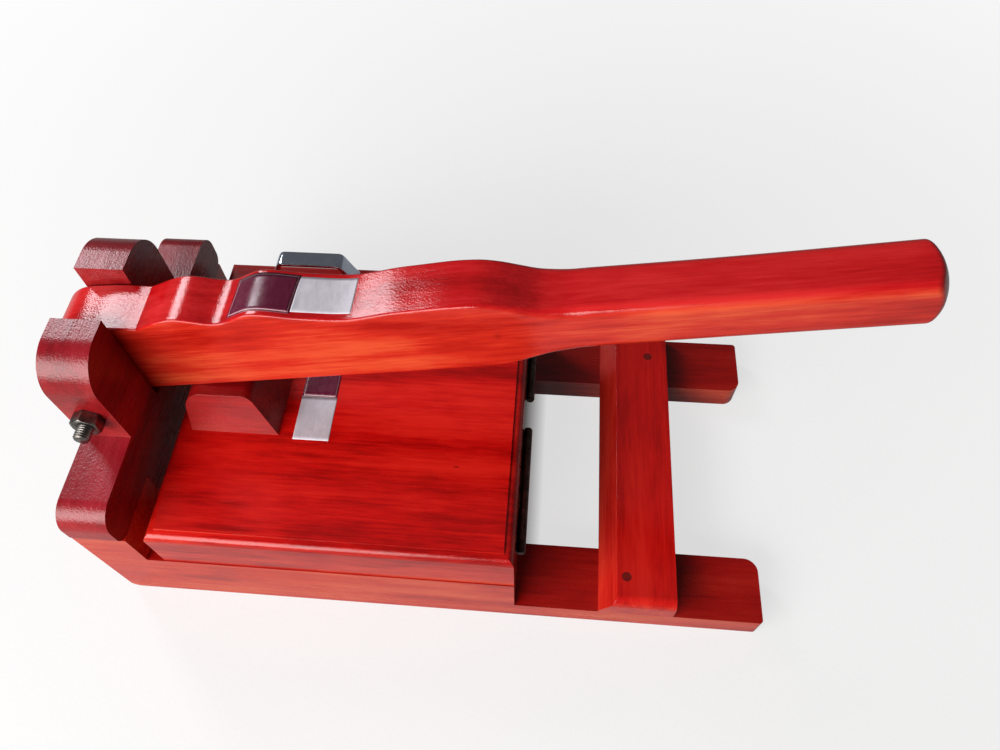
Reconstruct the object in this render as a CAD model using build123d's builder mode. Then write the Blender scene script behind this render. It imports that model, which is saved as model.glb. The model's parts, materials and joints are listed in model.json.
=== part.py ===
"""A wooden roti press, in millimetres.

Two stepped rails carry a fixed press board, and a hinged upper board lies on it. A plank with two horns
bridges the rails' high heels, and a long lever on a bolt between the horns bears down on a block in the
middle of the upper board.

+X runs from the horns to the lever's grip, Y runs across, and Z = 0 is the table. The near side is -Y.
"""

from math import acos, atan2, cos, hypot, sin, sqrt
import os

from build123d import *

# Rails: stepped boards on edge, with a high heel, a seat for the boards and a low foot
rail_length = 457.0
rail_thick = 45.4
rails_width = 230.9
heel_length = 36.5
heel_height = 100.1
seat_length = 250.0
seat_height = 64.2
foot_height = 22.0
rail_back_round = 7.0
rail_front_inner_round = 9.5
rail_front_outer_round = 2.5

# Pivot frame: a plank on edge across the heels, with a tongue down between the rails
frame_thick = 31.8
nose_overhang = 3.0
nose_top_round = 16.0
nose_low_round = 10.0
shoulder_rise = 35.1
horn_rise = 108.9
horn_half_width = 58.45
horn_round = 26.0
slot_width = 38.4
tongue_gap = 0.2

# Pivot bolt with its nut and washers
pivot_rise = 59.9
bolt_dia = 10.0
bolt_hole_clearance = 0.1
bolt_stub = 8.0
bolt_end_chamfer = 0.8
nut_across_flats = 17.0
nut_height = 8.4
nut_crown_drop = 1.4
head_height = 6.4
washer_dia = 20.0
washer_thick = 2.0
lever_washer_dia = 24.0
lever_washer_gap = 0.1

# Lever: a plank whose upper edge waves down to a softened grip
lever_thick = 35.0
lever_bore_clearance = 0.05
lever_belly = 33.4
tail_radius = 36.5
saddle_gap = 0.8
lever_length = 489.0
grip_dome_radius = 34.0
lever_rest_gap = 0.3

# Press boards
board_left_gap = 12.0
board_side_gap = 0.8
lower_board_thick = 25.0
upper_board_thick = 17.5
moulding_step = 1.5
moulding_inset = 6.5
moulding_round = 6.0

# Block under the lever
block_setback = 24.0
block_length = 61.0
block_width = 73.0
block_height = 29.45
block_left_round = 12.0
block_right_round = 9.0
block_end_lean = 11.6
block_lean = 16.0

# Butt hinges, let in at the boards' seam
hinge_length = 88.0
hinge_spacing = 112.9
hinge_pin_reach = 3.5
leaf_width = 20.0
leaf_thick = 1.5
knuckle_radius = 3.0
knuckle_gap = 0.3
hinge_pin_dia = 3.0
hinge_pin_clearance = 0.05
hinge_pin_head_dia = 4.8
hinge_pin_head = 1.0
mortise_gap = 0.1
hinge_screw_inset = 12.0
hinge_screw_spacing = 30.0
hinge_screw_length = 13.0

# Bow handle on the upper board
handle_setback = 48.0
handle_length = 70.0
handle_height = 22.0
handle_top_length = 62.0
handle_width = 13.0
handle_thick = 5.0
handle_foot = 7.0
handle_bend = 10.0
handle_edge_round = 1.6
handle_side_inset = 7.0
handle_screw_dia = 4.0
handle_screw_head_dia = 8.0
handle_screw_grip = 7.0
handle_screw_inset = 4.2

# Front crossbar on the low feet
crossbar_reach = 359.7
crossbar_length = 51.5
crossbar_thick = 20.0
crossbar_lip = 2.5
crossbar_slope = 11.3
crossbar_end_round = 7.0
plug_dia = 6.5
plug_depth = 5.0
near_plug_reach = 326.1
far_plug_reach = 344.8
near_plug_inset = 19.6
far_plug_inset = 29.5

# Wood screws and their holes
screw_dia = 5.0
screw_head_dia = 9.0
counterbore_dia = 12.0
hole_clearance = 0.05
pilot_extra = 1.0
frame_screw_grip = 40.0
frame_screw_bite = 28.0
frame_screw_spacing = 20.0
board_screw_grip = 24.0
board_screw_bite = 16.0
board_screw_inset = 50.0
block_screw_bite = 18.0
block_screw_spacing = 26.0
small_screw_dia = 3.5
small_screw_head_dia = 6.4
crossbar_screw_bite = 16.0
screw_sink = 0.1
sink_clearance = screw_sink + hole_clearance

# Worked-out places across the object and up it
rail_outer = rails_width / 2
rail_inner = rail_outer - rail_thick
rail_middle = (rail_outer + rail_inner) / 2
pivot_z = heel_height + pivot_rise
shoulder_z = heel_height + shoulder_rise
horn_z = heel_height + horn_rise
saddle_z = pivot_z - tail_radius - saddle_gap
seam_z = seat_height + lower_board_thick
lid_top = seam_z + upper_board_thick
block_z = lid_top + block_height
crossbar_top = foot_height + crossbar_thick
board_half_width = rail_outer - board_side_gap

# The wavy upper edge and the underside of the lever, along it and up from the pivot's centre
tail_top = (-12.0, sqrt(tail_radius**2 - 12.0**2))
tail_low = (-sqrt(tail_radius**2 - lever_belly**2), -lever_belly)
back_rise = [(8.0, 35.0), (38.0, 30.2)]
back_waves = [(66.0, 36.3), (93.5, 29.0), (116.0, 35.0), (177.0, 23.0), (215.0, 26.2)]

# The grip's sections: place along the lever, upper edge, lower edge and the rounding of the four edges
grip_start = 240.0
grip_sections = [
    (grip_start, 26.6, lever_belly, 0.8),
    (250.0, 25.8, 33.2, 1.2),
    (260.0, 23.4, 31.8, 2.0),
    (271.0, 19.2, 28.6, 3.2),
    (283.0, 14.6, 25.4, 4.6),
    (298.0, 13.2, 23.6, 5.6),
    (325.0, 12.7, 22.6, 6.0),
    (400.0, 11.5, 22.5, 6.0),
    (lever_length + 1, 11.4, 22.5, 6.0),
]
grip_top, grip_low = grip_sections[-1][1:3]
grip_middle = (grip_top - grip_low) / 2

# The lever's tilt at rest: its flat belly lies over the rounded left end of the block
corner_x = frame_thick / 2 + block_setback + block_left_round
corner_drop = pivot_z - block_z + block_left_round
belly_to_corner = lever_belly + block_left_round + lever_rest_gap
lever_tilt = atan2(corner_x, corner_drop) - acos(belly_to_corner / hypot(corner_x, corner_drop))

# The origin is midway between the lever's round tail and the tip of its domed grip
dome_place = lever_length - grip_dome_radius
lever_reach = dome_place * cos(lever_tilt) - grip_middle * sin(lever_tilt) + grip_dome_radius
pivot_x = (tail_radius - lever_reach) / 2
frame_back = pivot_x - frame_thick / 2
frame_front = pivot_x + frame_thick / 2
rail_back = frame_front - heel_length
rail_front = rail_back + rail_length
seat_end = frame_front + seat_length
board_left = frame_front + board_left_gap
board_length = seat_end - board_left
board_middle = board_left + board_length / 2
block_left = frame_front + block_setback
crossbar_right = frame_front + crossbar_reach
crossbar_left = crossbar_right - crossbar_length

# The hinges' pin line, and the lever's own planes
hinge_x = seat_end + hinge_pin_reach
hinge_middles = [-hinge_spacing / 2, hinge_spacing / 2]
lever_direction = Vector(cos(lever_tilt), 0, sin(lever_tilt))
lever_plane = Plane(origin=(pivot_x, 0, pivot_z), x_dir=lever_direction, z_dir=(0, -1, 0))

# Screw places, seen from above
frame_screw_spots = [
    (pivot_x, side * (rail_middle + step * frame_screw_spacing / 2)) for side in (-1, 1) for step in (-1, 1)
]
board_screw_spots = [
    (x, side * rail_middle)
    for side in (-1, 1)
    for x in (board_left + board_screw_inset, seat_end - board_screw_inset)
]
crossbar_screw_spots = [
    (frame_front + near_plug_reach, -rail_outer + near_plug_inset),
    (frame_front + far_plug_reach, rail_outer - far_plug_inset),
]
block_middle = block_left + block_length / 2
block_screw_spots = [(block_middle + step * block_screw_spacing / 2, 0) for step in (-1, 1)]
handle_middle = frame_front + handle_setback + handle_length / 2
handle_y = board_half_width - handle_side_inset - handle_width / 2
handle_screw_spots = [
    (handle_middle + step * (handle_length / 2 - handle_screw_inset), handle_y) for step in (-1, 1)
]
hinge_screw_spots = [
    (hinge_x - hinge_screw_inset, middle + step * hinge_screw_spacing)
    for middle in hinge_middles
    for step in (-1, 0, 1)
]
crossbar_screw_grip = crossbar_thick - plug_depth - small_screw_dia / 2


def places(spots, z, upward=False):
    """Locations at one height; upward ones look down, so that a hole there goes into what lies above."""
    turn = 180 if upward else 0
    return [Location((x, y, z), (turn, 0, 0)) for x, y in spots]


def pivot_section(y):
    """A plane square to the pivot's axis, at one place across the object; it faces the near side."""
    return Plane(origin=(pivot_x, y, pivot_z), x_dir=(1, 0, 0), z_dir=(0, -1, 0))


def hinge_section(y):
    """A plane square to the hinge pins' line; it faces the near side."""
    return Plane(origin=(hinge_x, y, seam_z), x_dir=(1, 0, 0), z_dir=(0, -1, 0))


def save(piece, name):
    """Label a finished piece and write it under its own name."""
    piece.part.label = name
    export_step(piece.part, f"parts/{name}.step")


def countersunk_screw(dia, head_dia, length):
    """A flat-headed screw: its head's face is at z = 0 and its point is down."""
    cone = (head_dia - dia) / 2
    with BuildPart() as screw:
        with BuildSketch(Plane.XZ):
            with BuildLine():
                Polyline(
                    (0, 0), (head_dia / 2, 0), (dia / 2, -cone), (dia / 2, dia - length), (0, -length), close=True
                )
            make_face()
        revolve(axis=Axis.Z)
    return screw.part


def round_headed_screw(dia, head_dia, length):
    """A low round-headed screw: its head sits on z = 0 and its point is down."""
    head = dia / 2
    with BuildPart() as screw:
        with BuildSketch(Plane.XZ) as half:
            with BuildLine():
                Polyline(
                    (0, head),
                    (head_dia / 2, head),
                    (head_dia / 2, 0),
                    (dia / 2, 0),
                    (dia / 2, dia - length),
                    (0, -length),
                    close=True,
                )
            make_face()
            fillet(half.vertices().group_by(Axis.Y)[-1].sort_by(Axis.X)[-1], head / 2)
        revolve(axis=Axis.Z)
    return screw.part


def hinge_leaf(middle, side, own_knuckles):
    """A leaf on one side of the seam (1 above, -1 below), with its knuckles, thirds 0, 1 or 2 of the hinge."""
    third = hinge_length / 3
    low_end = middle - hinge_length / 2
    with BuildPart() as leaf:
        with BuildSketch(hinge_section(low_end)):
            with Locations((0, side * leaf_thick / 2)):
                Rectangle(leaf_width, leaf_thick, align=(Align.MAX, Align.CENTER))
        extrude(amount=-hinge_length)
        for knuckle in range(3):
            if knuckle in own_knuckles:
                with BuildSketch(hinge_section(low_end + knuckle * third + knuckle_gap / 2)):
                    Circle(knuckle_radius)
                extrude(amount=knuckle_gap - third)
            else:
                with BuildSketch(hinge_section(low_end + knuckle * third - knuckle_gap / 2)):
                    Circle(knuckle_radius + knuckle_gap)
                extrude(amount=-third - knuckle_gap, mode=Mode.SUBTRACT)
        with BuildSketch(hinge_section(low_end)):
            Circle(hinge_pin_dia / 2 + hinge_pin_clearance)
        extrude(amount=-hinge_length, mode=Mode.SUBTRACT)
        own_spots = [spot for spot in hinge_screw_spots if abs(spot[1] - middle) < 2 * third]
        with Locations(*places(own_spots, seam_z, upward=side > 0)):
            CounterSinkHole(
                small_screw_dia / 2 + hole_clearance,
                small_screw_head_dia / 2 + sink_clearance,
                counter_sink_angle=90,
            )
    return leaf


os.makedirs("parts", exist_ok=True)

# One rail on the near side, with counterbored holes from below for the frame's and the board's screws
with BuildPart() as rail_blank:
    with BuildSketch(Plane.XZ.offset(rail_inner)):
        with BuildLine():
            Polyline(
                (rail_back, 0),
                (rail_front, 0),
                (rail_front, foot_height),
                (seat_end, foot_height),
                (seat_end, seat_height),
                (frame_front, seat_height),
                (frame_front, heel_height),
                (rail_back, heel_height),
                close=True,
            )
        make_face()
    extrude(amount=rail_thick)
    back_edges = rail_blank.edges().filter_by(Axis.Y).group_by(Axis.X)[0]
    fillet(back_edges.sort_by(Axis.Z)[0], rail_back_round)
    front_edges = rail_blank.edges().filter_by(Axis.Z).group_by(Axis.X)[-1].sort_by(Axis.Y)
    fillet(front_edges[-1], rail_front_inner_round)
    front_edges = rail_blank.edges().filter_by(Axis.Z).group_by(Axis.X)[-1].sort_by(Axis.Y)
    fillet(front_edges[0], rail_front_outer_round)
    with Locations(*places([spot for spot in frame_screw_spots if spot[1] < 0], 0, upward=True)):
        CounterBoreHole(screw_dia / 2 + hole_clearance, counterbore_dia / 2, heel_height - frame_screw_grip)
    with Locations(*places([spot for spot in board_screw_spots if spot[1] < 0], 0, upward=True)):
        CounterBoreHole(screw_dia / 2 + hole_clearance, counterbore_dia / 2, seat_height - board_screw_grip)

# The rails are mirror twins, but each has its own pilot hole for the crossbar's screw
with BuildPart() as near_rail:
    add(rail_blank.part)
    with Locations(*places(crossbar_screw_spots[:1], foot_height)):
        Hole(small_screw_dia / 2 + hole_clearance, depth=crossbar_screw_bite + pilot_extra)
save(near_rail, "near_rail")

with BuildPart() as far_rail:
    mirror(rail_blank.part, about=Plane.XZ)
    with Locations(*places(crossbar_screw_spots[1:], foot_height)):
        Hole(small_screw_dia / 2 + hole_clearance, depth=crossbar_screw_bite + pilot_extra)
save(far_rail, "far_rail")

# Front crossbar: a small lip, a slope towards the boards, and rounded ends on top
with BuildPart() as front_crossbar:
    with BuildSketch(Plane.XZ):
        with BuildLine():
            Polyline(
                (crossbar_left, foot_height),
                (crossbar_right, foot_height),
                (crossbar_right, crossbar_top),
                (crossbar_left + crossbar_slope, crossbar_top),
                (crossbar_left, foot_height + crossbar_lip),
                close=True,
            )
        make_face()
    extrude(amount=rail_outer, both=True)
    with BuildSketch(Plane.YZ.offset(crossbar_left)) as end_view:
        with Locations((0, foot_height)):
            Rectangle(rails_width, crossbar_thick, align=(Align.CENTER, Align.MIN))
        fillet(end_view.vertices().group_by(Axis.Y)[-1], crossbar_end_round)
    extrude(amount=crossbar_length, mode=Mode.INTERSECT)
    with Locations(*places(crossbar_screw_spots, crossbar_top)):
        CounterBoreHole(small_screw_dia / 2 + hole_clearance, plug_dia / 2, crossbar_thick - crossbar_screw_grip)
save(front_crossbar, "front_crossbar")

with BuildPart() as crossbar_plugs:
    for x, y in crossbar_screw_spots:
        with BuildSketch(Plane((x, y, crossbar_top))):
            Circle(plug_dia / 2 - hole_clearance)
    extrude(amount=-plug_depth)
save(crossbar_plugs, "crossbar_plugs")

# Pivot frame: a tongue between the rails, round noses, two shoulders, two horns and the slot between them
with BuildPart() as pivot_frame:
    with BuildSketch(Plane.YZ.offset(frame_back)) as outline:
        with BuildLine():
            Polyline(
                (0, seat_height),
                (rail_inner - tongue_gap, seat_height),
                (rail_inner - tongue_gap, heel_height),
                (rail_outer + nose_overhang, heel_height),
                (rail_outer + nose_overhang, shoulder_z),
                (horn_half_width, shoulder_z),
                (horn_half_width, horn_z),
                (slot_width / 2, horn_z),
                (slot_width / 2, saddle_z),
                (0, saddle_z),
                close=True,
            )
        make_face()
        fillet(outline.vertices().group_by(Axis.Y)[-1].sort_by(Axis.X)[-1], horn_round)
        fillet(outline.vertices().group_by(Axis.X)[-1].sort_by(Axis.Y)[0], nose_low_round)
        fillet(outline.vertices().group_by(Axis.X)[-1].sort_by(Axis.Y)[-1], nose_top_round)
        mirror(about=Plane.YZ)
    extrude(amount=frame_thick)
    with Locations(Location((pivot_x, 0, pivot_z), (90, 0, 0))):
        Hole(bolt_dia / 2 + bolt_hole_clearance)
    with Locations(*places(frame_screw_spots, heel_height, upward=True)):
        Hole(screw_dia / 2 + hole_clearance, depth=frame_screw_bite + pilot_extra)
save(pivot_frame, "pivot_frame")

# Pivot bolt: its head and washer are on the far horn, its threaded end stands out of the near nut
bolt_seat = horn_half_width + washer_thick
bolt_end = horn_half_width + nut_height + bolt_stub
with BuildPart() as pivot_bolt:
    with BuildSketch(pivot_section(bolt_seat)):
        Circle(bolt_dia / 2)
    extrude(amount=bolt_seat + bolt_end)
    chamfer(pivot_bolt.edges().sort_by(Axis.Y)[0], bolt_end_chamfer)
    with BuildSketch(pivot_section(bolt_seat)):
        RegularPolygon(nut_across_flats / 2, 6, major_radius=False)
    extrude(amount=-head_height)
save(pivot_bolt, "pivot_bolt")

# The nut's six corners are turned down to a round crown on its outer face
nut_corner_radius = nut_across_flats / sqrt(3)
with BuildPart() as pivot_nut:
    with BuildSketch(pivot_section(-horn_half_width)):
        RegularPolygon(nut_across_flats / 2, 6, major_radius=False)
    extrude(amount=nut_height)
    with BuildSketch(Plane.XY.offset(pivot_z)):
        with BuildLine():
            Polyline(
                (pivot_x, -horn_half_width),
                (pivot_x + nut_corner_radius, -horn_half_width),
                (pivot_x + nut_corner_radius, -horn_half_width - nut_height + nut_crown_drop),
                (pivot_x + nut_across_flats / 2, -horn_half_width - nut_height),
                (pivot_x, -horn_half_width - nut_height),
                close=True,
            )
        make_face()
    revolve(axis=Axis((pivot_x, 0, pivot_z), (0, 1, 0)), mode=Mode.INTERSECT)
    with BuildSketch(pivot_section(-horn_half_width)):
        Circle(bolt_dia / 2 + hole_clearance)
    extrude(amount=nut_height, mode=Mode.SUBTRACT)
save(pivot_nut, "pivot_nut")

with BuildPart() as head_washer:
    with BuildSketch(pivot_section(bolt_seat)):
        Circle(washer_dia / 2)
        Circle(bolt_dia / 2 + bolt_hole_clearance, mode=Mode.SUBTRACT)
    extrude(amount=washer_thick)
save(head_washer, "head_washer")

with BuildPart() as lever_washers:
    for inner_y in (-slot_width / 2, lever_thick / 2 + lever_washer_gap):
        with BuildSketch(pivot_section(inner_y)):
            Circle(lever_washer_dia / 2)
            Circle(bolt_dia / 2 + bolt_hole_clearance, mode=Mode.SUBTRACT)
        extrude(amount=-(slot_width / 2 - lever_thick / 2 - lever_washer_gap))
save(lever_washers, "lever_washers")

# Lever: the wavy plank, then the softened grip through its sections, then the domed end
with BuildPart() as lever:
    with BuildSketch(lever_plane):
        with BuildLine():
            ThreePointArc(tail_low, (-tail_radius, 0), tail_top)
            Spline(tail_top, *back_rise)
            Spline(back_rise[-1], *back_waves, (grip_start, grip_sections[0][1]))
            Polyline((grip_start, grip_sections[0][1]), (grip_start, -lever_belly), tail_low)
        make_face()
    extrude(amount=lever_thick / 2, both=True)
    for place, top, low, edge_round in grip_sections:
        station = lever_plane.origin + lever_direction * place
        with BuildSketch(Plane(origin=station, x_dir=(0, 1, 0), z_dir=lever_direction)):
            with Locations((0, (top - low) / 2)):
                RectangleRounded(lever_thick, top + low, edge_round)
    loft(ruled=True)
    with BuildSketch(lever_plane):
        with Locations((dome_place, grip_middle)):
            Rectangle(2 * grip_dome_radius, grip_dome_radius, align=(Align.MIN, Align.MIN))
            Circle(grip_dome_radius, mode=Mode.SUBTRACT)
    grip_axis = Axis(lever_plane.from_local_coords((0, grip_middle, 0)), lever_direction)
    revolve(axis=grip_axis, mode=Mode.SUBTRACT)
    with BuildSketch(pivot_section(0)):
        Circle(bolt_dia / 2 + lever_bore_clearance)
    extrude(amount=lever_thick, both=True, mode=Mode.SUBTRACT)
save(lever, "lever")

# Lower board, with the lower leaves' mortises and the screws' pilot holes
with BuildPart() as lower_board:
    with BuildSketch(Plane.XY.offset(seat_height)):
        with Locations((board_middle, 0)):
            Rectangle(board_length, 2 * board_half_width)
    extrude(amount=lower_board_thick)
    for middle in hinge_middles:
        with BuildSketch(hinge_section(middle)):
            Rectangle(leaf_width + mortise_gap, 2 * leaf_thick, align=(Align.MAX, Align.CENTER))
        extrude(amount=hinge_length / 2 + mortise_gap, both=True, mode=Mode.SUBTRACT)
    with Locations(*places(hinge_screw_spots, seam_z)):
        Hole(small_screw_dia / 2 + hole_clearance, depth=hinge_screw_length + pilot_extra)
    with Locations(*places(board_screw_spots, seat_height, upward=True)):
        Hole(screw_dia / 2 + hole_clearance, depth=board_screw_bite + pilot_extra)
save(lower_board, "lower_board")

# Upper board: a raised panel inside a rounded edge, on all four sides
with BuildPart() as upper_board:
    with BuildSketch(Plane.XY.offset(seam_z)):
        with Locations((board_middle, 0)):
            Rectangle(board_length, 2 * board_half_width)
    extrude(amount=upper_board_thick - moulding_step)
    fillet(upper_board.faces().sort_by(Axis.Z)[-1].edges(), moulding_round)
    with BuildSketch(Plane.XY.offset(lid_top - moulding_step)):
        with Locations((board_middle, 0)):
            Rectangle(board_length - 2 * moulding_inset, 2 * (board_half_width - moulding_inset))
    extrude(amount=moulding_step)
    for middle in hinge_middles:
        with BuildSketch(hinge_section(middle)):
            Rectangle(leaf_width + mortise_gap, 2 * leaf_thick, align=(Align.MAX, Align.CENTER))
        extrude(amount=hinge_length / 2 + mortise_gap, both=True, mode=Mode.SUBTRACT)
    with Locations(*places(hinge_screw_spots, seam_z, upward=True)):
        Hole(small_screw_dia / 2 + hole_clearance, depth=hinge_screw_length + pilot_extra)
    with Locations(*places(block_screw_spots, seam_z, upward=True)):
        CounterSinkHole(
            screw_dia / 2 + hole_clearance, screw_head_dia / 2 + sink_clearance, counter_sink_angle=90
        )
    with Locations(*places(handle_screw_spots, seam_z, upward=True)):
        CounterSinkHole(
            handle_screw_dia / 2 + hole_clearance,
            handle_screw_head_dia / 2 + sink_clearance,
            counter_sink_angle=90,
        )
save(upper_board, "upper_board")

# Cam block: its outline from the side, cut to its outline from the end, whose sides lean inwards
with BuildPart() as cam_block:
    with BuildSketch(Plane.XZ) as side_view:
        with BuildLine():
            Polyline(
                (block_left, lid_top),
                (block_left + block_length, lid_top),
                (block_left + block_length - block_lean, block_z),
                (block_left, block_z),
                close=True,
            )
        make_face()
        fillet(side_view.vertices().group_by(Axis.Y)[-1].sort_by(Axis.X)[0], block_left_round)
        fillet(side_view.vertices().group_by(Axis.Y)[-1].sort_by(Axis.X)[-1], block_right_round)
    extrude(amount=block_width / 2, both=True)
    with BuildSketch(Plane.YZ.offset(block_left)):
        with BuildLine():
            Polyline(
                (-block_width / 2, lid_top),
                (block_width / 2, lid_top),
                (block_width / 2 - block_end_lean, block_z),
                (block_end_lean - block_width / 2, block_z),
                close=True,
            )
        make_face()
    extrude(amount=block_length, mode=Mode.INTERSECT)
    with Locations(*places(block_screw_spots, lid_top, upward=True)):
        Hole(screw_dia / 2 + hole_clearance, depth=block_screw_bite + pilot_extra)
save(cam_block, "cam_block")

# Hinges: the lower leaves have the two outer knuckles, the upper leaves the middle one
for hinge_name, hinge_middle in (("near_hinge", hinge_middles[0]), ("far_hinge", hinge_middles[1])):
    save(hinge_leaf(hinge_middle, -1, (0, 2)), f"{hinge_name}_lower_leaf")
    save(hinge_leaf(hinge_middle, 1, (1,)), f"{hinge_name}_upper_leaf")
    with BuildPart() as hinge_pin:
        with BuildSketch(hinge_section(hinge_middle)):
            Circle(hinge_pin_dia / 2)
        extrude(amount=hinge_length / 2, both=True)
        for end in (-1, 1):
            with BuildSketch(hinge_section(hinge_middle + end * hinge_length / 2)):
                Circle(hinge_pin_head_dia / 2)
            extrude(amount=-end * hinge_pin_head)
    save(hinge_pin, f"{hinge_name}_pin")

# Bow handle: a bent flat band with two feet, screwed on from below
with BuildPart() as lift_handle:
    with BuildSketch(Plane.XZ.offset(-handle_y)) as bow:
        with BuildLine():
            Polyline(
                (handle_middle - handle_length / 2, lid_top),
                (handle_middle - handle_top_length / 2, lid_top + handle_height),
                (handle_middle + handle_top_length / 2, lid_top + handle_height),
                (handle_middle + handle_length / 2, lid_top),
                (handle_middle + handle_length / 2 - handle_foot, lid_top),
                (handle_middle + handle_top_length / 2 - handle_foot, lid_top + handle_height - handle_thick),
                (handle_middle - handle_top_length / 2 + handle_foot, lid_top + handle_height - handle_thick),
                (handle_middle - handle_length / 2 + handle_foot, lid_top),
                close=True,
            )
        make_face()
        fillet(bow.vertices().group_by(Axis.Y)[-1], handle_bend)
        fillet(bow.vertices().group_by(Axis.Y)[-2], handle_bend - handle_thick)
    extrude(amount=handle_width / 2, both=True)
    side_edges = lift_handle.faces().filter_by(Axis.Y).edges()
    fillet([edge for edge in side_edges if edge.center().Z > lid_top + hole_clearance], handle_edge_round)
    with Locations(*places(handle_screw_spots, lid_top, upward=True)):
        Hole(handle_screw_dia / 2 + hole_clearance, depth=handle_screw_grip + pilot_extra)
save(lift_handle, "lift_handle")

# Screws, each kind in one group
frame_screw = round_headed_screw(screw_dia, screw_head_dia, frame_screw_grip + frame_screw_bite)
with BuildPart() as frame_screws:
    with Locations(*places(frame_screw_spots, heel_height - frame_screw_grip, upward=True)):
        add(frame_screw)
save(frame_screws, "frame_screws")

board_screw = round_headed_screw(screw_dia, screw_head_dia, board_screw_grip + board_screw_bite)
with BuildPart() as board_screws:
    with Locations(*places(board_screw_spots, seat_height - board_screw_grip, upward=True)):
        add(board_screw)
save(board_screws, "board_screws")

crossbar_screw = round_headed_screw(
    small_screw_dia, small_screw_head_dia, crossbar_screw_grip + crossbar_screw_bite
)
with BuildPart() as crossbar_screws:
    with Locations(*places(crossbar_screw_spots, foot_height + crossbar_screw_grip)):
        add(crossbar_screw)
save(crossbar_screws, "crossbar_screws")

block_screw = countersunk_screw(screw_dia, screw_head_dia, upper_board_thick + block_screw_bite)
with BuildPart() as block_screws:
    with Locations(*places(block_screw_spots, seam_z + screw_sink, upward=True)):
        add(block_screw)
save(block_screws, "block_screws")

handle_screw = countersunk_screw(
    handle_screw_dia, handle_screw_head_dia, upper_board_thick + handle_screw_grip
)
with BuildPart() as handle_screws:
    with Locations(*places(handle_screw_spots, seam_z + screw_sink, upward=True)):
        add(handle_screw)
save(handle_screws, "lift_handle_screws")

hinge_screw = countersunk_screw(small_screw_dia, small_screw_head_dia, hinge_screw_length)
with BuildPart() as lower_hinge_screws:
    with Locations(*places(hinge_screw_spots, seam_z - screw_sink)):
        add(hinge_screw)
save(lower_hinge_screws, "hinge_screws_lower")

with BuildPart() as upper_hinge_screws:
    with Locations(*places(hinge_screw_spots, seam_z + screw_sink, upward=True)):
        add(hinge_screw)
save(upper_hinge_screws, "hinge_screws_upper")
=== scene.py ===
# %% [markdown]
# # A varnished wooden flatbread press
#
# This lesson dresses a press that is already built as a set of solids: two stepped rails, a pivot frame
# with two horns, two press boards, a long lever and its steel fittings. The solids give every size and
# place. Here each piece gets the surface that the real one shows: eased edges, a softened grip, threads,
# bent chrome, and red stain under a thick gloss varnish.
#
# The first step loads the solids. All lengths in Blender are in metres. Sizes that a maker would measure
# on the bench are written in millimetres and multiplied by MM.

import json
import math

import bmesh
import bpy
import numpy as np
from mathutils import Matrix, Vector


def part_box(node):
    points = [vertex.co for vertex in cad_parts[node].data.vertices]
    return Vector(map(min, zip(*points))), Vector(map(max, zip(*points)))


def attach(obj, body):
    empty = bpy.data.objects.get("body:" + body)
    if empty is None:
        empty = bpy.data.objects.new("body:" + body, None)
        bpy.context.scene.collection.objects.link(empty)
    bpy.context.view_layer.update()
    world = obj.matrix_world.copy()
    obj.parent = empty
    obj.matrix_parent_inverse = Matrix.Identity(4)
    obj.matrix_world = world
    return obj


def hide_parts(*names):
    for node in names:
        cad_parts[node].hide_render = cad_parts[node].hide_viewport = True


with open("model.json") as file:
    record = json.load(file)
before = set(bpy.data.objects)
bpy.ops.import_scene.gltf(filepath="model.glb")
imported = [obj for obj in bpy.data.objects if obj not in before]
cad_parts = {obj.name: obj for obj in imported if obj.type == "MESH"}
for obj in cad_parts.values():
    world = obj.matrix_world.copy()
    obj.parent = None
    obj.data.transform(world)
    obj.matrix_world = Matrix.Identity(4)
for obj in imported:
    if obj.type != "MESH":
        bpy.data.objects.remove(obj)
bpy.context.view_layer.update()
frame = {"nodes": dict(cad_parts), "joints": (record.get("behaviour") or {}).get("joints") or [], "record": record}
MM = 0.001

# %% [markdown]
# ## Shader maths as plain expressions
#
# A procedural material is arithmetic on a point in space. Drawn as nodes it takes pages, so one small class
# wraps a socket and lets Python's own operators add the Math nodes. A second class holds the nodes of one
# finish. Its method `node` adds any other node: its settings go in first, then the values or links of its
# sockets. A few short methods on top of it name the nodes that come back again and again.

# %% A socket that can be added, multiplied and compared
class Tap:
    """One output socket among a recipe's nodes; sums and products of taps add Math nodes."""

    def __init__(self, recipe, socket):
        self.recipe = recipe
        self.socket = socket

    def other(self, output):
        """Another output of the same node."""
        return Tap(self.recipe, self.socket.node.outputs[output])

    def _with(self, operation, first, second):
        return self.recipe.node("ShaderNodeMath", {"operation": operation}, {0: first, 1: second})

    def __add__(self, other):
        return self._with("ADD", self, other)

    def __radd__(self, other):
        return self._with("ADD", other, self)

    def __sub__(self, other):
        return self._with("SUBTRACT", self, other)

    def __rsub__(self, other):
        return self._with("SUBTRACT", other, self)

    def __mul__(self, other):
        return self._with("MULTIPLY", self, other)

    def __rmul__(self, other):
        return self._with("MULTIPLY", other, self)

    def least(self, other):
        return self._with("MINIMUM", self, other)

    def most(self, other):
        return self._with("MAXIMUM", self, other)


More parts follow.
